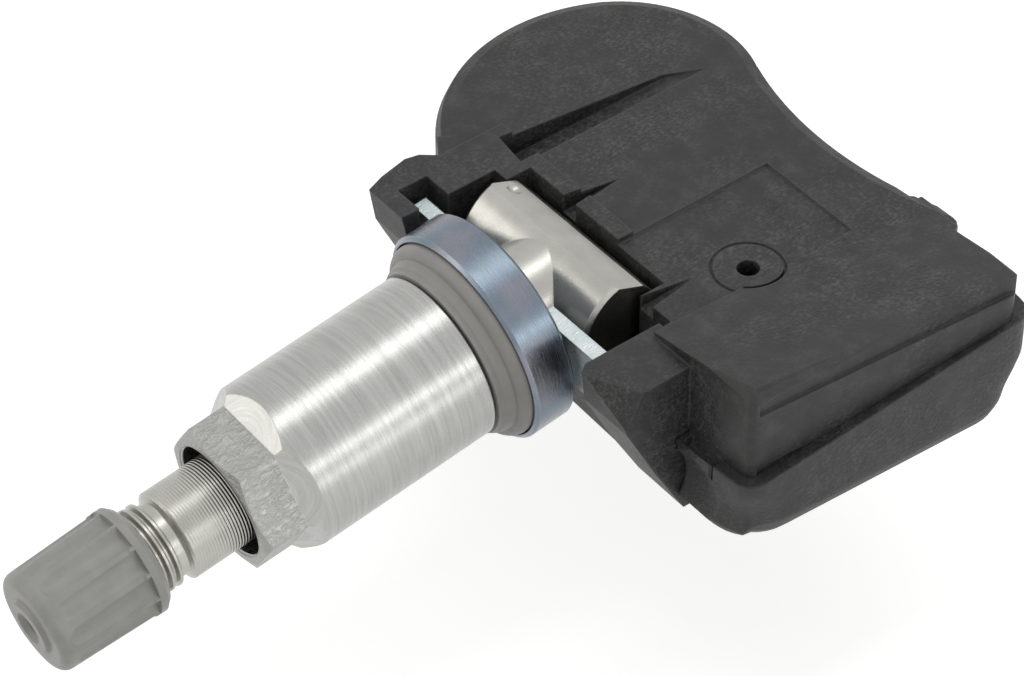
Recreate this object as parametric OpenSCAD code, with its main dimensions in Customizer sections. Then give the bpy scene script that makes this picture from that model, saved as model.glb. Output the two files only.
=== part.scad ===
// Tyre pressure sensor with a swivelling metal valve.
// The swivel axis of the valve is the X axis and its middle is the origin.
// The electronics housing lies on the +Y side, its marked face looks up (+Z),
// and the valve points towards -Y, drooping a few degrees.

/* [Valve] */
// Droop of the valve below the level of the housing, degrees
valve_droop = 8; // [4:0.5:10]
// Diameter of the head that lies across the cradle
head_d = 10.4; // [10:0.1:10.6]
// Length of the head
head_len = 17; // [15:0.5:17.5]
// Diameter of the threaded stem
stem_d = 8.2; // [8.1:0.05:8.4]
// Distance from the swivel axis to the tip of the stem
stem_len = 54.2; // [52:0.2:56]
// Diameter of the cap thread at the tip
tip_d = 7.75; // [7.6:0.05:7.8]
// Length of the cap thread at the tip
tip_len = 11.8; // [10:0.2:12.4]

/* [Collar, grommet and nut] */
// Diameter of the steel collar
collar_d = 19.8; // [18:0.2:20.4]
// Thickness of the steel collar
collar_t = 4.2; // [3.6:0.1:4.6]
// Diameter of the flange of the grommet
grommet_d = 18.6; // [17:0.2:19]
// Diameter of the grommet's neck, which fills the hole in the wheel rim
rim_hole_d = 11.3; // [11:0.1:11.5]
// Diameter of the sleeve of the nut
sleeve_d = 15.3; // [15:0.1:16]
// Length of the nut with its hexagon
nut_len = 23.1; // [22:0.1:24]
// Hexagon across its flats
hex_af = 12; // [11.5:0.1:12.4]
// Length of the hexagon
hex_len = 4.0; // [3.5:0.1:5]
// Turn of the hexagon about the valve, degrees
hex_turn = -3; // [-30:1:30]

/* [Cap] */
// Length of the valve cap
cap_len = 10.8; // [10:0.1:11.5]
// Diameter of the cap at its base
cap_base_d = 9.9; // [9.7:0.1:10.2]
// Diameter of the cap at its tip
cap_tip_d = 9.2; // [8.8:0.1:9.6]
// Number of flutes round the cap
cap_flutes = 12; // [8:1:16]

/* [Housing] */
// Level of the deck above the swivel axis
deck_z = 3.5; // [3:0.1:4]
// Level of the seam between the two shells at the round end
seam_z = -2.3; // [-2.6:0.1:-2]
// Rise of the seam towards the back at the deep end, degrees
seam_rise = 8.2; // [7:0.1:9]
// Level of the underside of the deep end
floor_z = -12.2; // [-13:0.1:-12]
// Radius of the round battery end
lobe_r = 12.8; // [12.6:0.1:13.4]
// Radius of its flatter side, towards the valve
lobe_side_r = 17.4; // [17:0.1:17.8]
// Wall thickness of the shells
wall = 1.3; // [1.2:0.05:1.4]
// Height of the ears of the cradle above the swivel axis
ear_z = 3.9; // [3.6:0.1:4.3]

/* [Battery and board] */
// Diameter of the coin cell
cell_d = 20; // [16:0.5:20.4]
// Thickness of the coin cell
cell_t = 3.2; // [2.5:0.1:3.2]
// Thickness of the circuit board
board_t = 1; // [0.8:0.1:1.2]

/* [Hidden] */
$fn = 72;
eps = 0.01;
// Clearance of a running fit, and of parts that only come near each other
fit = 0.05;
gap = 0.3;
far = 80;

// Stations along the valve, measured from the swivel axis
head_r = head_d / 2;
clip_t = 1.4;
clip_back = head_r + 0.15;
collar_a = clip_back + clip_t + 0.45;
grommet_a = collar_a + collar_t;
sleeve_a = grommet_a + 2.4;
nut_end = sleeve_a + nut_len;
hex_a = nut_end - hex_len;
tip_a = stem_len - tip_len;
cap_a = stem_len + 1.7 - cap_len;
cap_end = cap_a + cap_len;
stem_r = stem_d / 2;
tip_r = tip_d / 2;
neck_r = stem_r + 0.7;

// Everything is drawn about the swivel axis; the origin of the part is on the
// axis of the valve, on the face that the grommet presses to the wheel rim
rim_seat = sleeve_a * [0, -cos(valve_droop), -sin(valve_droop)];
module about_swivel() {
    translate(-rim_seat)
        children();
}

// Local Z runs outwards along the valve, from the swivel axis
module on_valve() {
    about_swivel()
        rotate([90 + valve_droop, 0, 0])
            children();
}

// Solid of revolution about the valve from a profile of [radius, station]
module turned(profile) {
    rotate_extrude()
        polygon(profile);
}

// Points of an arc round a centre, from one angle to another
function arc(centre, r, a1, a2, n = 8) =
    [for (i = [0 : n]) let (t = a1 + (a2 - a1) * i / n) centre + r * [cos(t), sin(t)]];

// Everything on the side of a plane through p that its normal points to;
// the normal is +Z turned by tilt
module half_space(p, tilt) {
    translate(p)
        rotate(tilt)
            translate([-far, -far, 0])
                cube([2 * far, 2 * far, far]);
}

// Head: a short round bar with a leaning flat on top, a flat back and a
// bevel between the two
flat_lean = 22;
flat_r = 3.75;
head_back = 2.3;
head_edge = 0.35;
module head() {
    difference() {
        rotate([0, 90, 0])
            turned([
                [0, -head_len / 2],
                [head_r - head_edge, -head_len / 2],
                [head_r, head_edge - head_len / 2],
                [head_r, head_len / 2 - head_edge],
                [head_r - head_edge, head_len / 2],
                [0, head_len / 2]
            ]);
        half_space(flat_r * [0, sin(flat_lean), cos(flat_lean)], [-flat_lean, 0, 0]);
        half_space([0, head_back, 0], [-90, 0, 0]);
        half_space([0, 1.25, 3.45], [-48, 0, 0]);
        // Centre mark near the left end of the flat
        translate([-head_len / 2 + 1.3, 0.1, 4.6])
            sphere(r = 0.85);
    }
}

// Cap thread, as rings with rounded crests
thread_pitch = 0.794;
thread_depth = 0.45;
thread_turns = floor((tip_len - 1.4) / thread_pitch);
module stem_turning() {
    ring_start = stem_len - 0.8 - thread_turns * thread_pitch;
    turned(concat(
        [[0, 1.2], [neck_r, 1.2], [neck_r, collar_a], [stem_r, collar_a], [stem_r, tip_a - 0.4],
            [tip_r - thread_depth, tip_a]],
        [for (i = [0 : thread_turns - 1], p = [[0, 0.1], [1, 0.33], [1, 0.62], [0, 0.85]])
            [tip_r - thread_depth * (1 - p[0]), ring_start + (i + p[1]) * thread_pitch]],
        [[tip_r - thread_depth, stem_len - 0.1], [tip_r - thread_depth - 0.1, stem_len], [0, stem_len]]
    ));
}

// Air way and the chamber of the valve core
chamber_r = 2.65;
seat_r = 2.0;
seat_a = stem_len - 7;
airway_r = 1.3;
module stem_bores() {
    turned([
        [0, -head_d], [airway_r, -head_d], [airway_r, stem_len - 26], [seat_r, stem_len - 25],
        [seat_r, seat_a], [chamber_r - 0.2, seat_a + 1.6], [chamber_r, seat_a + 1.6],
        [chamber_r, stem_len + 1], [0, stem_len + 1]
    ]);
}

module valve_stem() {
    color("Gainsboro")
        difference() {
            union() {
                about_swivel()
                    head();
                on_valve()
                    stem_turning();
            }
            on_valve()
                stem_bores();
        }
}

// Steel collar with a shallow cup that holds the flange of the grommet
cup_depth = 1.2;
collar_edge = 0.3;
bore_r = stem_r + 0.1;
module steel_collar() {
    r = collar_d / 2;
    cup_r = grommet_d / 2 + 0.15;
    color("SlateGray")
        on_valve()
            turned([
                [bore_r, collar_a], [r - collar_edge, collar_a], [r, collar_a + collar_edge],
                [r, grommet_a - collar_edge], [r - collar_edge, grommet_a], [cup_r, grommet_a],
                [cup_r, grommet_a - cup_depth], [bore_r, grommet_a - cup_depth]
            ]);
}

// Grommet: a flange with a rounded rim, a hollow shoulder and a neck for the rim
grommet_neck_r = rim_hole_d / 2;
grommet_neck_len = 4.8;
module grommet() {
    r = grommet_d / 2;
    back = grommet_a - cup_depth;
    shoulder = sleeve_a - 0.02;
    face_r = sleeve_d / 2 + 0.15;
    round_r = 0.9;
    hollow_r = r - round_r - face_r;
    color("Silver")
        on_valve()
            turned(concat(
                [[bore_r, back], [r - 0.2, back], [r, back + 0.2]],
                arc([r - round_r, grommet_a + 0.1], round_r, 0, 90),
                arc([face_r + hollow_r, shoulder], hollow_r, 240, 180),
                [[grommet_neck_r, shoulder], [grommet_neck_r, shoulder + grommet_neck_len - 0.4],
                    [grommet_neck_r - 0.4, shoulder + grommet_neck_len],
                    [bore_r, shoulder + grommet_neck_len]]
            ));
}

// Sleeve nut: a long turned sleeve that bevels into a hexagon, in one piece
nut_pocket_r = 5.2;
nut_pocket_len = 6;
module sleeve_nut() {
    r = sleeve_d / 2;
    start = sleeve_a + fit;
    socket_r = grommet_neck_r + 0.1;
    socket_end = start + grommet_neck_len + 0.3;
    thread_r = stem_r + fit;
    color("Silver")
        on_valve()
            rotate([0, 0, hex_turn])
                difference() {
                    union() {
                        difference() {
                            turned([
                                [0, start], [r - 0.25, start], [r, start + 0.25], [r, hex_a], [0, hex_a]
                            ]);
                            for (side = [0 : 5])
                                rotate([0, 0, 30 + 60 * side])
                                    half_space([hex_af / 2, 0, hex_a], [0, 45, 0]);
                        }
                        intersection() {
                            translate([0, 0, hex_a - eps])
                                cylinder(d = hex_af / cos(30), h = hex_len + eps, $fn = 6);
                            turned([[0, hex_a - 1], [r, hex_a - 1], [r, nut_end - 0.75],
                                [hex_af / 2 - 0.1, nut_end], [0, nut_end]]);
                        }
                    }
                    turned([
                        [0, start - 1], [socket_r, start - 1], [socket_r, socket_end],
                        [thread_r, socket_end + 1], [thread_r, nut_end - nut_pocket_len - 0.8],
                        [nut_pocket_r, nut_end - nut_pocket_len], [nut_pocket_r, nut_end - 0.2],
                        [nut_pocket_r + 0.3, nut_end + 0.1], [0, nut_end + 0.1]
                    ]);
                }
}

// Valve core, stations counted from the tip of the stem
pin_r = 0.5;
core_hole_r = pin_r + 0.2;
tube_r = 1.45;
tube_bore_r = 1.15;
tube_top = stem_len - 4.6;
tube_end = stem_len - 12.7;
pin_travel = 1.2;
collar_pin_a = tube_top - 1.6;
module core_swivel() {
    top = stem_len - 0.9;
    color("Goldenrod")
        on_valve()
            difference() {
                union() {
                    translate([0, 0, tube_top + fit])
                        cylinder(r = chamber_r - fit, h = 2.9);
                    intersection() {
                        translate([0, 0, tube_top + 1])
                            cylinder(r = chamber_r - 0.35, h = top - tube_top - 1);
                        translate([-1.1, -chamber_r, tube_top])
                            cube([2.2, 2 * chamber_r, top - tube_top]);
                    }
                }
                translate([0, 0, tube_top - 1])
                    cylinder(r = core_hole_r, h = top - tube_top + 2);
            }
}

module core_gasket() {
    color("Firebrick")
        on_valve()
            turned([
                [tube_r + 0.02, seat_a + 0.1], [seat_r - 0.02, seat_a + 0.1],
                [chamber_r - 0.3, seat_a + 1.5], [chamber_r - 0.3, tube_top - 0.3],
                [tube_r + 0.02, tube_top - 0.3]
            ]);
}

module core_tube() {
    color("Goldenrod")
        on_valve()
            turned([
                [core_hole_r, tube_end], [tube_r, tube_end], [tube_r, tube_top - 0.25],
                [tube_r + 0.5, tube_top - 0.25], [tube_r + 0.5, tube_top], [core_hole_r, tube_top],
                [core_hole_r, tube_top - 0.6], [tube_bore_r, tube_top - 0.6],
                [tube_bore_r, tube_end + 0.8], [core_hole_r, tube_end + 0.8]
            ]);
}

module core_pin() {
    color("Silver")
        on_valve()
            turned([
                [0, tube_end - 2.0], [1.7, tube_end - 2.0], [1.7, tube_end - 1.1], [pin_r, tube_end - 1.1],
                [pin_r, collar_pin_a], [tube_bore_r - 0.1, collar_pin_a],
                [tube_bore_r - 0.1, collar_pin_a + 0.5], [pin_r, collar_pin_a + 0.5],
                [pin_r, stem_len - 0.4], [pin_r - 0.15, stem_len - 0.2], [0, stem_len - 0.2]
            ]);
}

module core_cup_seal() {
    color("DimGray")
        on_valve()
            turned([
                [pin_r + 0.01, tube_end - 1.09], [1.65, tube_end - 1.09],
                [1.65, tube_end - 0.02], [pin_r + 0.01, tube_end - 0.02]
            ]);
}

// Return spring, at the length it has with the pin pressed
spring_wire = 0.24;
spring_turns = 7;
module core_spring() {
    base = tube_end + 0.85;
    coil_r = (tube_bore_r + pin_r) / 2;
    length = collar_pin_a - pin_travel - 0.08 - base;
    color("LightSteelBlue")
        on_valve()
            translate([0, 0, base])
                linear_extrude(length, twist = -360 * spring_turns, slices = 12 * spring_turns, $fn = 6)
                    translate([coil_r, 0])
                        circle(d = spring_wire, $fn = 6);
}

// Cap: a tapered shell with long flutes and a ring round the middle of its tip
cap_bore_r = tip_r + fit;
seal_t = 0.6;
flute_r = 1.5;
flute_depth = 0.3;
flute_len = cap_len - 3.6;
module cap_shell() {
    base_r = cap_base_d / 2;
    end_r = cap_tip_d / 2;
    face = cap_end - 0.35;
    color("Gray")
        on_valve()
            difference() {
                turned(concat(
                    [[0, cap_a], [base_r - 0.45, cap_a], [base_r, cap_a + 0.5], [base_r, cap_a + 1.6],
                        [base_r - 0.12, cap_a + 1.75]],
                    arc([end_r - 0.9, face - 0.9], 0.9, 0, 90),
                    [[2.6, face], [2.35, cap_end], [1.5, cap_end], [1.1, face - 0.1], [0.9, face - 0.7],
                        [0, face - 0.7]]
                ));
                for (i = [0 : cap_flutes - 1])
                    rotate([0, 0, 360 * (i + 0.5) / cap_flutes])
                        translate([end_r + flute_r - flute_depth, 0, cap_a + 1.2]) {
                            cylinder(r = flute_r, h = flute_len, $fn = 48);
                            translate([0, 0, flute_len])
                                sphere(r = flute_r, $fn = 48);
                        }
                translate([0, 0, cap_a - 1])
                    cylinder(r = cap_bore_r, h = 1 + stem_len + 0.05 + seal_t - cap_a);
            }
}

module cap_seal() {
    color("DarkSlateGray")
        on_valve()
            translate([0, 0, stem_len + 0.03])
                cylinder(r = cap_bore_r - 0.05, h = seal_t);
}

// Retaining clip, pressed from one strip: two wings in front of the head, and
// a saddle that runs under it, with an open slot for the neck of the valve
clip_top = 3.6;
clip_low = -2.3;
clip_half = 12.2;
clip_slot = neck_r + 0.35;
saddle_half = 8.2;
module clip_sector(x1, x2, from, to) {
    about_swivel()
        translate([x1, 0, 0])
            rotate([0, 90, 0])
                rotate_extrude(angle = to - from, start = from)
                    translate([clip_back, 0])
                        square([clip_t, x2 - x1]);
}
module retaining_clip() {
    corner = 1.5;
    color("WhiteSmoke") {
        on_valve()
            translate([0, 0, clip_back])
                linear_extrude(clip_t)
                    for (side = [-1, 1])
                        mirror([side < 0 ? 1 : 0, 0])
                            polygon(concat(
                                [[clip_slot, clip_top], [clip_slot, clip_low]],
                                arc([clip_half - corner, clip_low + corner], corner, 270, 360),
                                [[clip_half, clip_top]]
                            ));
        for (side = [-1, 1])
            clip_sector(side > 0 ? clip_slot : -saddle_half, side > 0 ? saddle_half : -clip_slot, -80, -1);
        clip_sector(-saddle_half, saddle_half, -2, 22);
    }
}

// Places in the housing
lobe = [-12.75, 16.35];
lobe_turn = 154.6;
lobe_side = lobe + (lobe_r - lobe_side_r) * [cos(lobe_turn), sin(lobe_turn)];
ledge_right = 1.2;
ledge_back = 1.6;
ledge_front = 1.4;
front_left = lobe_side + lobe_side_r * [cos(240), sin(240)];
ear_in_left = -10.4;
ear_in_right = 13.1;
ear_left = -16.3;
ear_right = 18.7;
ear_front = -9.7;
block_left = 14;
block_front = -2.3;
block_back = 25.2;
block_right = 26.4;
block_right_back = 28.4;
cradle_y = 2.9;
skirt_y = 4.6;
port = [12, 9.6];
side_skew = atan((block_right_back - block_right) / (block_back - block_front));

// The waist between the round end and the deep end is a long hollow curve that
// touches the round end; waist is its lowest point
waist = [4.2, 26.05];
waist_r = let (d = waist - lobe) (d[0] * d[0] + d[1] * d[1] - lobe_r * lobe_r) / (2 * (lobe_r - d[1]));
waist_centre = waist + [0, waist_r];
lobe_touch = lobe + lobe_r / (lobe_r + waist_r) * (waist_centre - lobe);
touch_turn = atan2(lobe_touch[1] - lobe[1], lobe_touch[0] - lobe[0]);

// Angle by which the curves of the round end run on past the places where they touch
lap = 3;
lap_corner = lobe + (lobe_r + 0.5) * [cos(touch_turn - lap), sin(touch_turn - lap)];

// Outline of the housing above the seam, seen from above, without the round end;
// its corners at the round end are the middles of the two arcs there
module cover_outline() {
    difference() {
        polygon(concat(
            [lobe, lobe_side, front_left, [-14.9, block_front], [block_right - 1, block_front]],
            arc([block_right - 1, block_front + 1], 1, -90, -side_skew, 4),
            arc([block_right_back - 1.2, block_back - 1], 1.2, -side_skew, 86, 4),
            // A broad rib stands out of the back wall beside the waist
            [[19.8, block_back + 0.6], [19.2, block_back + 1.5], [18.6, block_back + 1.9],
                [14.6, block_back + 2.5], [13.8, block_back + 2.2], [13.5, block_back + 1.2],
                [4.2, block_back + 1.2], lap_corner]
        ));
        translate(waist_centre)
            circle(r = waist_r, $fn = 360);
    }
}

// Outline of the lower shell, which stands out round the deep end
module tray_outline() {
    front = block_front - ledge_front;
    right = block_right + ledge_right;
    right_back = block_right_back + ledge_right / 2;
    difference() {
        polygon(concat(
            [lobe, lobe_side, front_left, [-14.9, block_front], [18.8, block_front], [18.8, front]],
            arc([right - 2, front + 0.4 + 2], 2, -90, -side_skew, 5),
            arc([right_back - 2, block_back + ledge_back - 2], 2, -side_skew, 88, 5),
            [[block_left + 0.2, block_back + ledge_back + 1.4], [4.2, block_back + 1.2], lap_corner]
        ));
        translate(waist_centre)
            circle(r = waist_r, $fn = 360);
    }
}

// What lies below the seam: level at the round end, rising at the deep end
seam_deep = -3.2;
module below_seam(drop = 0) {
    translate([-far, -far, seam_z - drop - far])
        cube([far + block_left + drop, 2 * far, far]);
    intersection() {
        half_space([0, block_front, seam_deep - drop], [180 + seam_rise, 0, 0]);
        translate([block_left + drop, -far / 2, -far / 2])
            cube([far, far, far]);
    }
}

// Eased top edge of the round end, and the same edge along the waist
ease = 1.6;
ease_mid = 0.3 * ease;
module lobe_arc(centre, r, from, to, low, high) {
    translate([centre[0], centre[1], 0])
        rotate_extrude(angle = to - from, start = from)
            polygon([
                [0, low + ease], [0, high], [r - ease, high], [r - ease_mid, high - ease_mid],
                [r, high - ease], [r, low + ease]
            ]);
}
module waist_edge() {
    translate([waist_centre[0], waist_centre[1], 0])
        rotate_extrude(angle = 60, start = 240)
            polygon([
                [waist_r - 1, deck_z - ease], [waist_r, deck_z - ease],
                [waist_r + ease_mid, deck_z - ease_mid], [waist_r + ease, deck_z],
                [waist_r + ease, deck_z + 1], [waist_r - 1, deck_z + 1]
            ]);
}

// Prism with a profile in the YZ plane, from x1 to x2
module along_x(x1, x2) {
    translate([x1, 0, 0])
        rotate([90, 0, 90])
            linear_extrude(x2 - x1)
                children();
}

// Round end of either shell, from low to high
module round_end(low, high) {
    lobe_arc(lobe, lobe_r, touch_turn - 2 * lap, lobe_turn - lap, low, high);
    lobe_arc(lobe_side, lobe_side_r, lobe_turn - 1.5 * lap, 240, low, high);
}

module deck() {
    difference() {
        translate([0, 0, seam_z])
            linear_extrude(deck_z - seam_z)
                cover_outline();
        waist_edge();
    }
}

// Upper part of the deep end: its top rises to the right and falls to the back
block_rise = 9.3;
block_fall = 2.6;
panel_depth = 0.3;
module block_cover() {
    difference() {
        intersection() {
            translate([0, 0, seam_deep - 1])
                linear_extrude(12)
                    cover_outline();
            translate([block_left, -far / 2, -far / 2])
                cube(far);
        }
        half_space([block_left, 2, deck_z + 0.65], [-block_fall, -block_rise, 0]);
        // Soft upper edges: one steep and one shallow flat along the right side
        half_space([block_right - 0.9, block_front, 6.25], [0, 33, -side_skew]);
        half_space([block_right - 0.2, block_front, 5.6], [0, 62, -side_skew]);
        half_space([0, block_front + 0.5, 5.9], [45, 0, 0]);
        half_space([0, block_back + 1.6, 3.5], [-45, 0, 0]);
        // Panel sunk in the side, below the rim of the top
        difference() {
            translate([block_right, block_front, 0])
                rotate([0, 0, -side_skew])
                    translate([-panel_depth, 0.8, seam_deep - 1])
                        cube([3, 40, 12]);
            half_space([0, block_front, 4.7], [4, 0, 0]);
        }
    }
}

// Ears and the floor of the cradle, which reach down past the seam
module skirt() {
    intersection() {
        along_x(ear_left, ear_right)
            polygon([[skirt_y, ear_z], [ear_front, ear_z], [-8.9, 0], [-5.7, -6.4], [-2.5, floor_z],
                [skirt_y, floor_z]]);
        translate([0, 0, floor_z - 1])
            linear_extrude(ear_z - floor_z + 2)
                polygon([[-15, ear_front], [-15.7, -7.8], [ear_left, -4.9], [-16, -3.6], [-14.9, block_front],
                    [-14.9, skirt_y], [ear_right, skirt_y], [ear_right, ear_front],
                    [ear_in_right + 0.6, ear_front], [ear_in_right, ear_front + 0.9],
                    [ear_in_right, -3.6], [ear_in_left, -3.6], [ear_in_left, ear_front]]);
    }
}

// Hollows cut in the cradle and the deck
swing_down = 11.5;
module cradle_hollow() {
    cheek_y = 0.3;
    cheek_left = -8.8;
    cheek_right = 9.1;
    // Room for the head, open to the front and the top
    translate([ear_in_left, -20, -4])
        cube([ear_in_right - ear_in_left, 20 + cheek_y, 20]);
    translate([cheek_left, -20, -4])
        cube([cheek_right - cheek_left, 20 + cradle_y, 20]);
    // Round floor under the saddle of the clip
    intersection() {
        along_x(cheek_left, cheek_right)
            circle(r = clip_back + clip_t + fit);
        translate([-far, -far, -far])
            cube([2 * far, far + cradle_y, 2 * far]);
    }
    // Slot in the left ear for the end of the clip
    translate([-13.4, -7.85, -4.4])
        cube([4, 3.1, 20]);
    // Recess low in the back wall, for the head's lower edge when the valve is down
    along_x(cheek_left, cheek_right)
        polygon([[0, -2.1], [cradle_y, -2.1], [cradle_y + 0.6, -2.7], [cradle_y + 0.6, -5], [0, -5]]);
    // Front of the floor leans back, so that the collar can swing down
    along_x(ear_in_left, ear_in_right)
        polygon([[-20, -4], [-3.6, -4], [-3.6, -7], [-2, floor_z - 1], [-20, floor_z - 1]]);
    // Trough for the neck of the valve at its lowest
    rotate([90 + valve_droop + swing_down, 0, 0])
        cylinder(r = neck_r + fit + gap, h = 20);
    // Underside rises towards the shallow end
    half_space([18.7, 0, floor_z], [0, 180 + 5, 0]);
}

module deck_hollows() {
    // Long tapering trench beside the round end; its floor rises to the back
    intersection() {
        translate([0, 0, -5])
            linear_extrude(20)
                polygon([[-13.6, 3.2], [-9.9, 2.7], [-10, 23.5], [-11.7, 20]]);
        half_space([0, 2.7, 0.9], [7, 0, 0]);
    }
    // Short wedges behind the head
    for (start = [[-3.4, cradle_y - 0.1], [10, 0.2]])
        intersection() {
            translate([start[0], start[1], -5])
                linear_extrude(20)
                    polygon([[-0.9, 0], [0.8, 0], [0.1, 5.4]]);
            half_space([0, start[1], 1.9], [16, 0, 0]);
        }
    // Sunk field in the middle of the deck, open towards the cradle
    field_left = 3.0;
    field_back = 19.4;
    translate([field_left, -1, deck_z - 0.22])
        cube([block_left - field_left - 0.05, field_back + 1, 5]);
    // Gate mark in a shallow dish
    translate([7.5, 14.8, deck_z + 5.35])
        sphere(r = 6);
}

// Pressure port, with a groove round it, and its tube down to the gasket
port_r = 1.0;
port_tube_r = 2.9;
port_low = -1.9;
module port_hole() {
    translate([port[0], port[1], -10])
        cylinder(r = port_r, h = 30);
    translate([port[0], port[1], deck_z - 0.42])
        rotate_extrude()
            translate([3.0, 0])
                square([0.3, 6]);
}

cover_roof = 2.0;
module cover_cavity() {
    difference() {
        union() {
            translate([lobe[0], lobe[1], seam_z - 1])
                cylinder(r = lobe_r - wall, h = 1 - seam_z - 0.6);
            translate([0, 0, seam_z - 1])
                linear_extrude(cover_roof + 1 - seam_z)
                    polygon([[3, skirt_y + wall], [20.1, skirt_y + wall], [20.1, block_front + wall],
                        [24.9, block_front + wall], [26.7, 22.9], [15.2, 25.2], [8.6, 25.2], [3, 24.6]]);
            translate([-8, 7.5, seam_z - 1])
                cube([12, 15, 1 - seam_z - 0.6]);
        }
        translate([port[0], port[1], port_low])
            cylinder(r = port_tube_r, h = 10);
    }
}

module upper_housing() {
    color("DimGray") about_swivel()
        difference() {
            union() {
                difference() {
                    union() {
                        round_end(seam_z - ease, deck_z);
                        deck();
                        block_cover();
                    }
                    below_seam();
                }
                skirt();
            }
            half_space([14.1, ear_front, ear_z], [0, 66.7, -63.4]);
            cradle_hollow();
            deck_hollows();
            port_hole();
            cover_cavity();
        }
}

// Lower shell
lobe_floor = -7.2;
mid_floor = -8.6;
shell_gap = 0.05;
tray_top = seam_z - shell_gap;
module lobe_tray() {
    mirror([0, 0, 1])
        round_end(-tray_top - ease, -lobe_floor);
}

module block_tray() {
    front = block_front - ledge_front;
    back = block_back + ledge_back;
    right = block_right + ledge_right;
    right_r = 4.8;
    front_r = 4;
    back_r = 6.5;
    tray_skew = atan((block_right_back - block_right - ledge_right / 2) / (block_back - block_front));
    intersection() {
        translate([0, 0, floor_z - 1])
            linear_extrude(2 - floor_z)
                tray_outline();
        below_seam(shell_gap);
        translate([right, front, 0])
            rotate([0, 0, -tray_skew])
                rotate([90, 0, 0])
                    translate([0, 0, -40])
                        linear_extrude(45)
                            polygon(concat(
                                [[0, 3], [0, floor_z + right_r]],
                                arc([-right_r, floor_z + right_r], right_r, 0, -90, 6),
                                [[-12.5, floor_z], [-18.5, mid_floor], [-60, mid_floor], [-60, 3]]
                            ));
        along_x(-40, 40)
            polygon(concat(
                [[front, 3]],
                arc([front + front_r, floor_z + front_r], front_r, 180, 270, 6),
                arc([back + 0.6 - back_r, floor_z + back_r], back_r, 270, 360, 6),
                [[back + 0.6, 3]]
            ));
    }
}

module tray_cavity() {
    lobe_inner = lobe_floor + wall;
    mid_inner = mid_floor + wall;
    block_inner = floor_z + wall + 0.2;
    translate([lobe[0], lobe[1], lobe_inner])
        cylinder(r = lobe_r - wall, h = 20);
    translate([0, 0, mid_inner])
        linear_extrude(20)
            polygon([
                [-4.5, skirt_y + wall], [14, skirt_y + wall], [14, 24.7], [-1, 24.7], [-4.5, 25.2]
            ]);
    intersection() {
        translate([0, 0, block_inner])
            linear_extrude(20)
                polygon([[13.9, skirt_y + wall], [20.1, skirt_y + wall], [20.1, 0],
                    [block_right - 0.9, 0], [block_right_back - 1.2, 24.2], [15.6, 24.7], [13.9, 24.7]]);
        union() {
            translate([0, 0, mid_inner])
                cube([60, 60, 20]);
            translate([17.6, -10, -20])
                cube([60, 32, 40]);
        }
    }
}

module tray_posts() {
    // Rests for the circuit board
    for (p = [[4.2, 9], [4.2, 21], [12, 15]])
        translate([p[0], p[1], mid_floor + wall - eps])
            cylinder(r = 1.1, h = board_low - mid_floor - wall + eps);
    for (p = [[22.5, 9], [23.2, 20.5]])
        translate([p[0], p[1], floor_z + wall])
            cylinder(r = 1.3, h = board_low - floor_z - wall);
}

module lower_housing() {
    color("DarkSlateGray") about_swivel() {
        difference() {
            union() {
                lobe_tray();
                block_tray();
            }
            // Clear of the cradle's skirt
            translate([-16.4, -20, -30])
                cube([35.2, 20 + skirt_y + 0.1, 60]);
            tray_cavity();
            // Slot in the front of the ledge and a soft hollow below it
            translate([19.4, block_front - 1.15, -5])
                cube([3.8, 1.1, 5]);
            translate([20.6, block_front - ledge_front - 3.5, -7.6])
                sphere(r = 5);
        }
        tray_posts();
    }
}

// Circuit board and what it carries
board_low = -6.6;
board_top = board_low + board_t;
module circuit_board() {
    color("DarkGreen") about_swivel()
        translate([0, 0, board_low])
            linear_extrude(board_t)
                polygon([[3, 6.3], [19.8, 6.3], [20.6, 7.2], [24.4, 7.2], [25.4, 22.6], [24.4, 23.6],
                    [4, 23.6], [3, 22.6]]);
}

cell_low = -5.66;
tab_t = 0.16;
module coin_cell() {
    r = cell_d / 2;
    color("LightGray") about_swivel()
        translate([lobe[0], lobe[1], cell_low])
            turned([
                [0, 0], [r - 1.9, 0], [r - 1.7, 0.25], [r - 0.6, 0.25], [r, 0.85], [r, cell_t - 0.3],
                [r - 0.3, cell_t], [0, cell_t]
            ]);
}

module battery_tab_positive() {
    z = cell_low + cell_t;
    color("Silver") about_swivel() {
        translate([-8, 17, z])
            cube([12.2, 3, tab_t]);
        translate([4.2 - tab_t, 17, board_top])
            cube([tab_t, 3, z - board_top + tab_t]);
        translate([4.2 - tab_t, 17, board_top])
            cube([2, 3, tab_t]);
    }
}

module battery_tab_negative() {
    z = cell_low - tab_t;
    color("Silver") about_swivel() {
        translate([-8, 12, z])
            cube([10.8, 3, tab_t]);
        translate([2.8 - tab_t, 12, z])
            cube([tab_t, 3, board_top - z + tab_t]);
        translate([2.8 - tab_t, 12, board_top])
            cube([2.2, 3, tab_t]);
    }
}

chip = [6, 5, 1.8];
module sensor_chip() {
    z = board_top + 0.1;
    color("Black") about_swivel()
        translate([port[0], port[1], z])
            difference() {
                union() {
                    translate([-chip[0] / 2, -chip[1] / 2, 0])
                        cube(chip);
                    for (side = [-1, 1], i = [-2 : 2])
                        translate([i * 1.1 - 0.2, side * (chip[1] / 2 + 0.2) - 0.4, -0.1])
                            cube([0.4, 0.8, 0.3]);
                }
                translate([0, 0, chip[2] - 0.5])
                    cylinder(r = 0.6, h = 1);
            }
}

module port_gasket() {
    z = board_top + 0.1 + chip[2];
    color("OrangeRed") about_swivel()
        translate([port[0], port[1], z])
            difference() {
                cylinder(r = 2.5, h = port_low - z);
                translate([0, 0, -1])
                    cylinder(r = port_r + 0.1, h = 10);
            }
}

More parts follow.
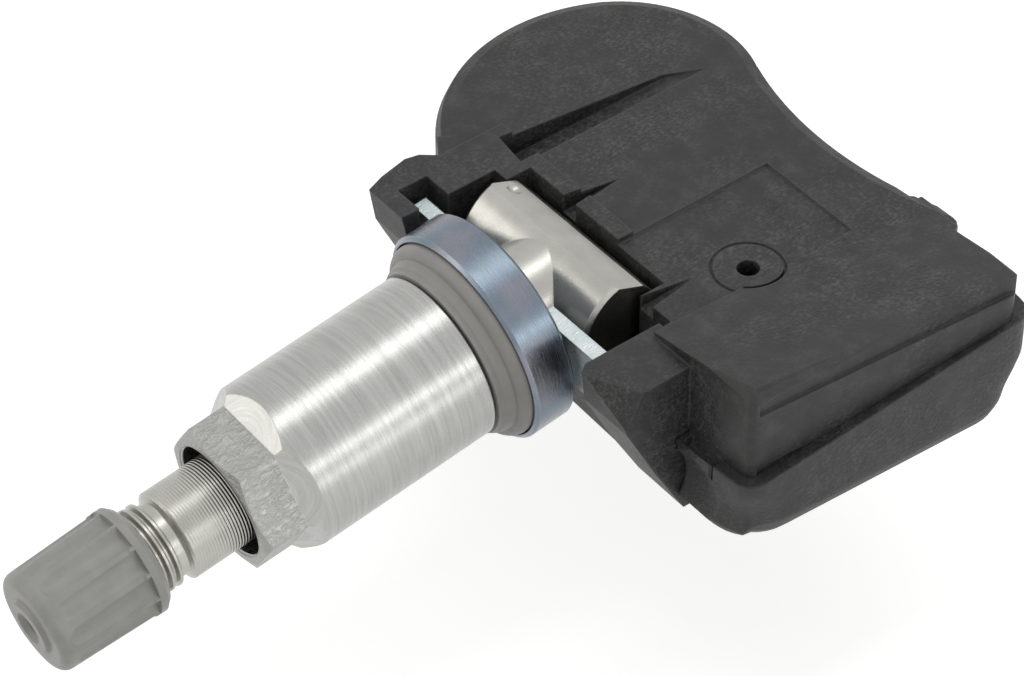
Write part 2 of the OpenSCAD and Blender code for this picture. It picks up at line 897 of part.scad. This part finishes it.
core_len = 11;
coil_at = [15.5, 20];
module antenna_core() {
    color("SaddleBrown") about_swivel()
        translate([coil_at[0] - core_len / 2, coil_at[1] - 1.2, board_top + 0.3]) {
            cube([core_len, 2.4, 1.6]);
            for (x = [0, core_len - 1.2])
                translate([x, -0.3, -0.3])
                    cube([1.2, 3, 2.2]);
        }
}

module antenna_winding() {
    color("Chocolate") about_swivel()
        translate([coil_at[0] - core_len / 2 + 1.25, coil_at[1], board_top + 1.1])
            rotate([90, 0, 90])
                linear_extrude(core_len - 2.5)
                    difference() {
                        square([3.0, 2.1], center = true);
                        square([2.42, 1.62], center = true);
                    }
}

module loop_antenna() {
    r = 0.35;
    bend = 1.2;
    high = 0.9;
    x = 23.6;
    y1 = 9.5;
    y2 = 19;
    color("Khaki") about_swivel() {
        for (y = [y1, y2])
            translate([x, y, board_top])
                cylinder(r = r, h = high - bend - board_top, $fn = 24);
        translate([x, y1 + bend, high])
            rotate([-90, 0, 0])
                cylinder(r = r, h = y2 - y1 - 2 * bend, $fn = 24);
        for (side = [-1, 1])
            translate([x, side < 0 ? y1 + bend : y2 - bend, high - bend])
                rotate([90, 0, side * 90])
                    rotate_extrude(angle = 90, $fn = 48)
                        translate([bend, 0])
                            circle(r = r, $fn = 24);
    }
}

module crystal_can() {
    color("Silver") about_swivel()
        translate([18.2, 12.2, board_top])
            cube([2.5, 3.2, 0.9]);
}

module chip_capacitors() {
    color("Tan") about_swivel()
        for (p = [[17.6, 8.2], [19.2, 9.8], [8.2, 15.2], [10.4, 15.2], [5.6, 22.2], [7.8, 22.2]])
            translate([p[0], p[1], board_top])
                cube([1.6, 0.8, 0.8]);
}

upper_housing();
lower_housing();
circuit_board();
coin_cell();
battery_tab_positive();
battery_tab_negative();
sensor_chip();
port_gasket();
antenna_core();
antenna_winding();
loop_antenna();
crystal_can();
chip_capacitors();
retaining_clip();
valve_stem();
steel_collar();
grommet();
sleeve_nut();
core_swivel();
core_gasket();
core_tube();
core_spring();
core_pin();
core_cup_seal();
cap_shell();
cap_seal();
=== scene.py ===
import math

import bmesh
import bpy
from mathutils import Matrix, Vector


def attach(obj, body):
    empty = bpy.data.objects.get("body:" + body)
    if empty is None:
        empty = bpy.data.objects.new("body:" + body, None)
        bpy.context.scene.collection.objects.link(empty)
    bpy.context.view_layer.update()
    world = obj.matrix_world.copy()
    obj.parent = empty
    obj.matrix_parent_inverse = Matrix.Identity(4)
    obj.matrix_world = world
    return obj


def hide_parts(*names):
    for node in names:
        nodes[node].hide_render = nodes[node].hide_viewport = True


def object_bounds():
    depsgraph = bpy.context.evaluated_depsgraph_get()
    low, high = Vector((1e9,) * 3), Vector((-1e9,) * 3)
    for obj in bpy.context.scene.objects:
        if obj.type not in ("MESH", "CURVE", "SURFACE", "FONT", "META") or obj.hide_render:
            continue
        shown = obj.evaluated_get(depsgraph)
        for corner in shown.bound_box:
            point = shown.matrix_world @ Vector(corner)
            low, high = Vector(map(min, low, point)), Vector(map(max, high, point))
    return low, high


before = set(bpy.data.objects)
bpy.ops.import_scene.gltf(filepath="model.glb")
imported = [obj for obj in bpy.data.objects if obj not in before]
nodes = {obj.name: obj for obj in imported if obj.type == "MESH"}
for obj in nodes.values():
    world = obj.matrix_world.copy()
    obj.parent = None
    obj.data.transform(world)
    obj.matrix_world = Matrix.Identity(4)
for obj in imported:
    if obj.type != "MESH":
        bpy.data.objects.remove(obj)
cad_low, cad_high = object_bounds()

# Sizes shared with the solids, in millimetres; HEX_START, NECK_END and STEM_THREAD_END
# are measured along the valve from the grommet's seat, and HEX_INNER out from its axis
DROOP = math.radians(8)
AXIS = Vector((0, -math.cos(DROOP), -math.sin(DROOP)))
HEX_START = 19.15
HEX_INNER = 5.3
NECK_END = 2.0
STEM_THREAD_END = 28.4
STEM_PITCH = 0.28
TRAY_RIGHT = 27.6
TRAY_FRONT = 9.966
TRAY_BACK = 40.466
TRAY_SKEW = math.tan(math.radians(2.9))

# How finely the lower shell is cut for its round corners, and where its shading breaks
CORNER_CUTS = 9
WELD = 1e-4
SHARP_ANGLE = math.radians(26)

# Camera and floor, with lengths in metres and the lens and sensor in millimetres;
# SWING_ROOM lets the valve swing down above the floor
MM = 0.001
CAMERA_AZIMUTH = math.radians(51.719)
CAMERA_ELEVATION = math.radians(43.105)
CAMERA_PLACE = Vector((0.20769, -0.15630, 0.24508))
CAMERA_LENS = 150.37
CAMERA_SENSOR = 36
FLOOR_HALF = 1.2
SWING_ROOM = 0.0175

WHITE = (1, 1, 1, 1)
WARM_WHITE = (1, 0.99, 0.97, 1)
FILL_STRENGTH = 0.47
FLOOR_GLOW = (0.7, 0.7, 0.7, 1)
FLOOR_GREY = (0.6, 0.6, 0.6, 1)


def turned_to(x, y, z, place):
    """A matrix with these three axes, at this place."""
    return Matrix((
        (x.x, y.x, z.x, place.x),
        (x.y, y.y, z.y, place.y),
        (x.z, y.z, z.z, place.z),
        (0, 0, 0, 1),
    ))


# Camera, at the photograph's viewing angle
def make_camera():
    az, el = CAMERA_AZIMUTH, CAMERA_ELEVATION
    back = Vector((math.sin(az) * math.cos(el), -math.cos(az) * math.cos(el), math.sin(el)))
    right = Vector((math.cos(az), math.sin(az), 0))
    up = back.cross(right)
    cam = bpy.data.objects.new("camera", bpy.data.cameras.new("camera"))
    cam.data.lens = CAMERA_LENS
    cam.data.sensor_width = CAMERA_SENSOR
    cam.data.clip_start, cam.data.clip_end = 0.01, 20
    cam.matrix_world = turned_to(right, up, back, CAMERA_PLACE)
    bpy.context.scene.collection.objects.link(cam)
    bpy.context.scene.camera = cam
    return right, up, back


RIGHT, UP, BACK = make_camera()


# Light: long soft boxes beside the valve draw the bright bands along its metal
def soft_box(name, direction, distance, size, energy, colour=(1, 1, 1)):
    """A rectangular lamp whose long side runs along the valve.

    Its direction is given by how far it lies to the right, up and back in the camera's view.
    """
    light = bpy.data.lights.new(name, "AREA")
    light.shape = "RECTANGLE"
    light.size, light.size_y = size
    light.energy = energy
    light.color = colour
    u, v, w = direction
    z = (u * RIGHT + v * UP + w * BACK).normalized()
    x = (AXIS - AXIS.dot(z) * z).normalized()
    ob = bpy.data.objects.new(name, light)
    ob.matrix_world = turned_to(x, z.cross(x), z, z * distance)
    bpy.context.scene.collection.objects.link(ob)


soft_box("side_box", (0.77, -0.05, 0.63), 0.6, (0.7, 0.09), 0.55)
soft_box("key_box", (0.14, 0.84, 0.53), 0.6, (0.7, 0.16), 0.95)
soft_box("left_box", (-0.93, 0.2, 0.3), 0.7, (0.6, 0.3), 0.85, (1, 0.98, 0.93))
soft_box("right_box", (0.83, -0.4, 0.3), 0.7, (0.7, 0.3), 1.15)


def background_rays(tree):
    """1 for the rays that show the background: the camera's, and those of gloss and glass."""
    path = tree.nodes.new("ShaderNodeLightPath")
    total = path.outputs["Is Camera Ray"]
    for name in ("Is Glossy Ray", "Is Transmission Ray"):
        add = tree.nodes.new("ShaderNodeMath")
        add.operation = "MAXIMUM"
        tree.links.new(total, add.inputs[0])
        tree.links.new(path.outputs[name], add.inputs[1])
        total = add.outputs[0]
    return total


def make_world():
    world = bpy.data.worlds.new("studio")
    bpy.context.scene.world = world
    world.use_nodes = True
    tree = world.node_tree
    tree.nodes.clear()
    out = tree.nodes.new("ShaderNodeOutputWorld")
    seen = tree.nodes.new("ShaderNodeBackground")
    seen.inputs["Color"].default_value = WHITE
    lit = tree.nodes.new("ShaderNodeBackground")
    lit.inputs["Color"].default_value = WARM_WHITE
    lit.inputs["Strength"].default_value = FILL_STRENGTH
    mix = tree.nodes.new("ShaderNodeMixShader")
    tree.links.new(background_rays(tree), mix.inputs[0])
    tree.links.new(lit.outputs[0], mix.inputs[1])
    tree.links.new(seen.outputs[0], mix.inputs[2])
    tree.links.new(mix.outputs[0], out.inputs["Surface"])


make_world()


# Floor, a pale sheet low enough for the valve to swing down to its limit
def make_floor():
    mesh = bpy.data.meshes.new("floor")
    r, z = FLOOR_HALF, cad_low.z - SWING_ROOM
    mesh.from_pydata([(-r, -r, z), (r, -r, z), (r, r, z), (-r, r, z)], [], [(0, 1, 2, 3)])
    floor = bpy.data.objects.new("floor", mesh)
    bpy.context.scene.collection.objects.link(floor)
    mat = bpy.data.materials.new("floor")
    mat.use_nodes = True
    tree = mat.node_tree
    tree.nodes.clear()
    out = tree.nodes.new("ShaderNodeOutputMaterial")
    glow = tree.nodes.new("ShaderNodeEmission")
    glow.inputs["Color"].default_value = FLOOR_GLOW
    tree.links.new(background_rays(tree), glow.inputs["Strength"])
    lit = tree.nodes.new("ShaderNodeBsdfDiffuse")
    lit.inputs["Color"].default_value = FLOOR_GREY
    both = tree.nodes.new("ShaderNodeAddShader")
    tree.links.new(lit.outputs[0], both.inputs[0])
    tree.links.new(glow.outputs[0], both.inputs[1])
    tree.links.new(both.outputs[0], out.inputs["Surface"])
    mesh.materials.append(mat)


make_floor()


# Lower shell, with the block's two right-hand corners rounded towards the bottom
def round_corner(bm, corner_x, corner_y, side, radius, low, high):
    """Rounds an upright corner in plan, fully below low and not at all above high.

    side is 1 for a corner whose block lies behind it, towards +Y, and -1 for the other way.
    """
    cx, cy = corner_x - radius, corner_y + side * radius

    def inside(co):
        return co.x > cx - WELD and side * (cy - co.y) > -WELD

    def cut(faces, place, normal):
        geometry = set(faces)
        for f in faces:
            geometry.update(f.edges)
            geometry.update(f.verts)
        bmesh.ops.bisect_plane(bm, geom=list(geometry), dist=WELD, plane_co=place, plane_no=normal)

    def corner_faces():
        return [f for f in bm.faces if inside(f.calc_center_median())]

    cut(list(bm.faces), (cx, 0, 0), (1, 0, 0))
    cut(list(bm.faces), (0, cy, 0), (0, 1, 0))
    for k in range(1, CORNER_CUTS):
        angle = math.pi / 2 * k / CORNER_CUTS
        cut(corner_faces(), (cx, cy, 0), (math.sin(angle), side * math.cos(angle), 0))
    for k in range(CORNER_CUTS + 1):
        cut(corner_faces(), (0, 0, low + (high - low) * k / CORNER_CUTS), (0, 0, 1))
    for v in bm.verts:
        qx, qy = v.co.x - cx, side * (cy - v.co.y)
        if qx > 0 and qy > 0:
            t = min(1, max(0, (high - v.co.z) / (high - low)))
            share = t * t * (3 - 2 * t)
            scale = 1 + (max(qx, qy) / math.hypot(qx, qy) - 1) * share
            v.co.x = cx + qx * scale
            v.co.y = cy - side * qy * scale


def make_lower_shell():
    source = nodes["lower_housing"]
    bm = bmesh.new()
    bm.from_mesh(source.data)
    bm.transform(Matrix.Scale(1 / MM, 4) @ source.matrix_world)
    bmesh.ops.remove_doubles(bm, verts=bm.verts, dist=WELD)
    shear = Matrix.Identity(4)
    shear[0][1] = -TRAY_SKEW
    shear[0][3] = TRAY_SKEW * TRAY_FRONT
    bm.transform(shear)
    round_corner(bm, TRAY_RIGHT, TRAY_FRONT, side=1, radius=5.2, low=-7.5, high=-1.5)
    round_corner(bm, TRAY_RIGHT, TRAY_BACK, side=-1, radius=5.0, low=-7.0, high=-1.0)
    bm.transform(shear.inverted())
    bm.transform(Matrix.Scale(MM, 4))
    mesh = bpy.data.meshes.new("lower_shell")
    bm.to_mesh(mesh)
    bm.free()
    for face in mesh.polygons:
        face.use_smooth = True
    mesh.set_sharp_from_angle(angle=SHARP_ANGLE)
    shell = bpy.data.objects.new("lower_shell", mesh)
    bpy.context.scene.collection.objects.link(shell)
    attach(shell, "housing")
    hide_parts("lower_housing")
    return shell


lower_shell = make_lower_shell()


# Materials
class Shader:
    """Builds a principled material from short calls."""

    def __init__(self, name, **values):
        self.mat = bpy.data.materials.new(name)
        self.mat.use_nodes = True
        self.tree = self.mat.node_tree
        self.bsdf = self.tree.nodes["Principled BSDF"]
        for key, value in values.items():
            self.bsdf.inputs[key.replace("_", " ")].default_value = value

    def node(self, kind, links=(), **values):
        n = self.tree.nodes.new("ShaderNode" + kind)
        for key, value in values.items():
            if key.startswith("in_"):
                n.inputs[int(key[3:])].default_value = value
            else:
                setattr(n, key, value)
        for index, source in dict(links).items():
            self.tree.links.new(source, n.inputs[index])
        return n

    def math(self, op, a, b=None, c=None, clamp=False):
        n = self.node("Math", operation=op, use_clamp=clamp)
        for i, v in enumerate((a, b, c)):
            if v is None:
                continue
            if isinstance(v, (int, float)):
                n.inputs[i].default_value = v
            else:
                self.tree.links.new(v, n.inputs[i])
        return n.outputs[0]

    def times(self, a, b, clamp=False):
        return self.math("MULTIPLY", a, b, clamp=clamp)

    def plus(self, a, b, clamp=False):
        return self.math("ADD", a, b, clamp=clamp)

    def place(self, on_valve=False):
        """Coordinates in millimetres; along the valve they have their Z on its axis."""
        tex = self.node("TexCoord")
        m = self.node("Mapping", {0: tex.outputs["Object"]})
        m.inputs["Scale"].default_value = (1 / MM, 1 / MM, 1 / MM)
        if on_valve:
            m.inputs["Rotation"].default_value = (-math.pi / 2 - DROOP, 0, 0)
        return m.outputs[0]

    def noise(self, vector, scale, detail=3.0, rough=0.5, stretch=None):
        if stretch:
            m = self.node("Mapping", {0: vector})
            m.inputs["Scale"].default_value = stretch
            vector = m.outputs[0]
        n = self.node("TexNoise", {0: vector})
        n.inputs["Scale"].default_value = scale
        n.inputs["Detail"].default_value = detail
        n.inputs["Roughness"].default_value = rough
        return n.outputs["Fac"]

    def ramp(self, fac, stops):
        n = self.node("ValToRGB", {0: fac})
        while len(n.color_ramp.elements) < len(stops):
            n.color_ramp.elements.new(0.5)
        for e, (at, value) in zip(n.color_ramp.elements, stops):
            e.position = at
            e.color = (*value, 1)
        return n.outputs[0]

    def grey(self, fac, low, high, a, b):
        """Maps fac from low..high to a..b, clamped."""
        n = self.node("MapRange", {0: fac}, in_1=low, in_2=high, in_3=a, in_4=b)
        return n.outputs[0]

    def set(self, socket, source):
        self.tree.links.new(source, self.bsdf.inputs[socket])

    def bump(self, height, distance, strength, base):
        n = self.node("Bump", in_0=strength)
        n.inputs["Distance"].default_value = distance * MM
        self.tree.links.new(height, n.inputs["Height"])
        self.tree.links.new(base, n.inputs["Normal"])
        self.set("Normal", n.outputs[0])

    def bevel(self, radius):
        n = self.node("Bevel", samples=4)
        n.inputs["Radius"].default_value = radius * MM
        return n.outputs[0]

    def edge(self, radius, gain):
        """0 on flat ground, rising to 1 where an edge is nearer than the radius."""
        soft = self.bevel(radius)
        true = self.node("NewGeometry").outputs["Normal"]
        dot = self.node("VectorMath", {0: soft, 1: true}, operation="DOT_PRODUCT")
        return self.times(self.math("SUBTRACT", 1, dot.outputs["Value"]), gain, clamp=True)

    def round_the_valve(self, vector, grain):
        """Coordinates for brushing round the valve, long round it and short along it."""
        x, y, z = self.node("SeparateXYZ", {0: vector}).outputs
        r = self.math("SQRT", self.plus(self.times(x, x), self.times(y, y)))
        along = self.plus(z, self.times(r, 1.7))
        ring = self.node("CombineXYZ", {
            0: self.math("DIVIDE", x, r),
            1: self.math("DIVIDE", y, r),
            2: self.times(along, grain),
        })
        return ring.outputs[0], r, z

    def mix(self, fac, a, b):
        """Colour a where fac is 0 and b where it is 1; either may be a colour or an output."""
        n = self.node("Mix", data_type="RGBA")
        for index, value in ((0, fac), (6, a), (7, b)):
            if isinstance(value, (int, float)):
                n.inputs[index].default_value = value
            elif isinstance(value, tuple):
                n.inputs[index].default_value = (*value, 1)
            else:
                self.tree.links.new(value, n.inputs[index])
        return n.outputs[2]


def dim(colour, factor):
    return tuple(c * factor for c in colour)


def housing_plastic(name, tone):
    """Glass-filled plastic: satin, speckled in patches, paler along its edges, where a painted
    highlight stands in for light caught on the rounded edges.
    """
    s = Shader(name, Specular_IOR_Level=0.38)
    p = s.place()
    broad = s.noise(p, 0.11, 3)
    cloud = s.noise(p, 0.5, 3)
    speckle = s.noise(p, 2.6, 3, 0.7)
    fibres = s.noise(p, 5.0, 2, 0.6, (1, 0.35, 1))
    both = s.math("MULTIPLY_ADD", speckle, 0.6, s.times(fibres, 0.4))
    swing = s.times(s.math("SUBTRACT", both, 0.5), s.grey(broad, 0.42, 0.6, 0.25, 1.0))
    tint = s.plus(s.times(swing, 3.8), s.times(s.math("SUBTRACT", cloud, 0.5), 0.8))
    ground = s.ramp(s.plus(tint, 0.5, clamp=True), [
        (0.0, dim(tone, 0.3)),
        (0.5, tone),
        (1.0, dim(tone, 3.2)),
    ])
    # Painted highlight: the base colour is lightened wherever an edge is near
    s.set("Base Color", s.mix(s.edge(0.35, 3.2), ground, dim(tone, 3.0)))
    s.set("Roughness", s.grey(speckle, 0.3, 0.7, 0.42, 0.6))
    s.bump(s.times(swing, 2.0), 0.12, 0.9, s.bevel(0.3))
    return s.mat


def turning_marks(s, p, grain):
    """Fine marks round the valve, with a few deeper ones among them."""
    ring, r, z = s.round_the_valve(p, grain)
    fine = s.noise(ring, 3.0, 4, 0.75)
    deep = s.noise(ring, 0.9, 3, 0.6)
    height = s.math("MULTIPLY_ADD", fine, 0.7, s.times(deep, 0.3))
    return ring, r, z, fine, deep, height


def nut_material():
    """Turned over the sleeve; on the hexagon's faces pitted by the tool that sheared them."""
    pale, dark, pit = (0.44, 0.44, 0.425), (0.36, 0.36, 0.345), (0.3, 0.3, 0.285)
    s = Shader("turned_aluminium", Metallic=1.0)
    p = s.place(on_valve=True)
    ring, r, z, fine, deep, height = turning_marks(s, p, 3.0)
    lines = s.grey(s.noise(ring, 6.0, 1), 0.62, 0.72, 0, 1)
    broken = s.grey(s.noise(p, 0.7, 2), 0.5, 0.6, 0, 1)
    streaks = s.mix(s.grey(deep, 0.35, 0.65, 0, 1), dark, pale)
    turned = s.mix(s.times(s.times(lines, broken), 0.35), streaks, dim(dark, 0.5))
    flat = s.times(s.math("GREATER_THAN", z, HEX_START), s.math("GREATER_THAN", r, HEX_INNER))
    pits = s.noise(p, 1.6, 4, 0.75, (1.0, 1.0, 0.45))
    grooves = s.grey(pits, 0.42, 0.6, 0, 1)
    s.set("Base Color", s.mix(s.times(flat, s.grey(grooves, 0, 1, 0.6, 0.1)), turned, pit))
    s.set("Roughness", s.math("MULTIPLY_ADD", flat, 0.14, s.grey(fine, 0.3, 0.7, 0.22, 0.34)))
    relief = s.plus(s.times(height, 0.3), s.times(s.times(grooves, flat), 1.6))
    s.bump(relief, 0.05, 0.9, s.bevel(0.14))
    return s.mat


def stem_material():
    """Satin nickel on the head; a very fine thread on the stem."""
    s = Shader("nickel_plate", Metallic=1.0)
    p = s.place(on_valve=True)
    cloud = s.noise(p, 0.45, 3)
    grain = s.noise(p, 6, 4, 0.6)
    z = s.node("SeparateXYZ", {0: p}).outputs[2]
    thread = s.math("SINE", s.times(z, 2 * math.pi / STEM_PITCH))
    past_neck = s.math("GREATER_THAN", z, NECK_END)
    on_stem = s.times(past_neck, s.math("LESS_THAN", z, STEM_THREAD_END))
    s.set("Base Color", s.ramp(cloud, [(0.3, (0.39, 0.385, 0.355)), (0.7, (0.45, 0.445, 0.415))]))
    s.set("Roughness", s.grey(grain, 0.3, 0.7, 0.26, 0.36))
    relief = s.plus(s.times(s.times(thread, on_stem), 0.45), s.times(grain, 0.1))
    s.bump(relief, 0.05, 0.8, s.bevel(0.15))
    return s.mat


def collar_material():
    """Blue zinc over turned steel, drifting between blue, grey and violet, with a painted
    highlight making it paler along its edges.
    """
    s = Shader("blue_zinc", Metallic=1.0)
    p = s.place(on_valve=True)
    _, _, _, fine, _, height = turning_marks(s, p, 4.0)
    zinc = s.ramp(s.noise(p, 0.2, 3), [
        (0.3, (0.15, 0.19, 0.22)),
        (0.45, (0.17, 0.205, 0.25)),
        (0.58, (0.22, 0.228, 0.265)),
        (0.7, (0.25, 0.26, 0.28)),
    ])
    # Painted highlight: the zinc's colour is lightened towards pale grey wherever an edge is near
    s.set("Base Color", s.mix(s.edge(0.22, 1.5), zinc, (0.5, 0.53, 0.55)))
    s.set("Roughness", s.grey(fine, 0.3, 0.7, 0.2, 0.34))
    s.bump(height, 0.02, 1.0, s.bevel(0.12))
    return s.mat


def rubbery(name, colour, rough=0.55, grain=4.0, depth=0.02, spec=0.4):
    s = Shader(name, Specular_IOR_Level=spec)
    p = s.place()
    cloud = s.noise(p, 0.6, 3)
    fine = s.noise(p, grain, 4, 0.6)
    s.set("Base Color", s.ramp(cloud, [(0.3, dim(colour, 0.88)), (0.7, colour)]))
    s.set("Roughness", s.grey(fine, 0.3, 0.7, rough - 0.08, rough + 0.08))
    s.bump(fine, depth, 0.6, s.bevel(0.15))
    return s.mat


def plain_metal(name, colour, rough=0.3, grain=8.0, depth=0.01):
    s = Shader(name, Metallic=1.0)
    p = s.place()
    cloud = s.noise(p, 0.8, 3)
    fine = s.noise(p, grain, 3, 0.6)
    s.set("Base Color", s.ramp(cloud, [(0.3, dim(colour, 0.85)), (0.7, colour)]))
    s.set("Roughness", s.grey(fine, 0.3, 0.7, rough - 0.06, rough + 0.08))
    s.bump(fine, depth, 0.8, s.bevel(0.1))
    return s.mat


def clip_material():
    """Bright zinc with sheared edges."""
    s = Shader("zinc_plate", Metallic=1.0)
    p = s.place()
    shear = s.noise(p, 1.0, 4, 0.7, (6, 1.2, 1.2))
    drift = s.noise(p, 0.3, 2)
    s.set("Base Color", s.ramp(drift, [(0.35, (0.42, 0.5, 0.5)), (0.65, (0.55, 0.58, 0.59))]))
    s.set("Roughness", s.grey(shear, 0.3, 0.7, 0.22, 0.42))
    s.bump(shear, 0.08, 0.8, s.bevel(0.12))
    return s.mat


BLACK = housing_plastic("housing_plastic", (0.026, 0.026, 0.026))
# The lower shell gets a slightly darker copy of the same plastic: painted shade for its lower,
# downward-facing sides
SHADED_LOWER = housing_plastic("housing_plastic_shaded_low", (0.024, 0.024, 0.024))
TAB = plain_metal("tab_steel", (0.6, 0.6, 0.58))
BRASS = plain_metal("brass", (0.72, 0.52, 0.25))
MATERIALS = {
    "upper_housing": BLACK,
    "lower_housing": SHADED_LOWER,
    "circuit_board": rubbery("board", (0.02, 0.14, 0.05), 0.35),
    "coin_cell": plain_metal("cell_steel", (0.62, 0.62, 0.6), 0.28),
    "battery_tab_positive": TAB,
    "battery_tab_negative": TAB,
    "sensor_chip": rubbery("chip_resin", (0.03, 0.03, 0.032), 0.5),
    "port_gasket": rubbery("silicone", (0.35, 0.08, 0.05), 0.6),
    "antenna_core": rubbery("ferrite", (0.09, 0.08, 0.075), 0.6),
    "antenna_winding": plain_metal("copper_wire", (0.75, 0.33, 0.15), 0.3),
    "loop_antenna": plain_metal("plated_wire", (0.7, 0.68, 0.6), 0.25),
    "crystal_can": plain_metal("can_metal", (0.66, 0.66, 0.66), 0.28),
    "chip_capacitors": rubbery("ceramic", (0.5, 0.38, 0.25), 0.5),
    "retaining_clip": clip_material(),
    "valve_stem": stem_material(),
    "steel_collar": collar_material(),
    "grommet": rubbery("grommet_rubber", (0.31, 0.305, 0.29), 0.5, 5.0, 0.012, 0.5),
    "sleeve_nut": nut_material(),
    "core_swivel": BRASS,
    "core_gasket": rubbery("core_seal", (0.05, 0.05, 0.05)),
    "core_tube": BRASS,
    "core_spring": plain_metal("spring_steel", (0.6, 0.6, 0.6)),
    "core_pin": plain_metal("pin_steel", (0.62, 0.62, 0.62)),
    "core_cup_seal": rubbery("cup_seal", (0.05, 0.05, 0.05)),
    "cap_shell": rubbery("cap_plastic", (0.35, 0.35, 0.335), 0.45, 3.0, 0.03, 0.45),
    "cap_seal": rubbery("cap_rubber", (0.06, 0.06, 0.06)),
}
for node_name, ob in nodes.items():
    ob.data.materials.clear()
    ob.data.materials.append(MATERIALS[node_name])
lower_shell.data.materials.append(SHADED_LOWER)

bpy.context.scene.view_settings.view_transform = "Standard"
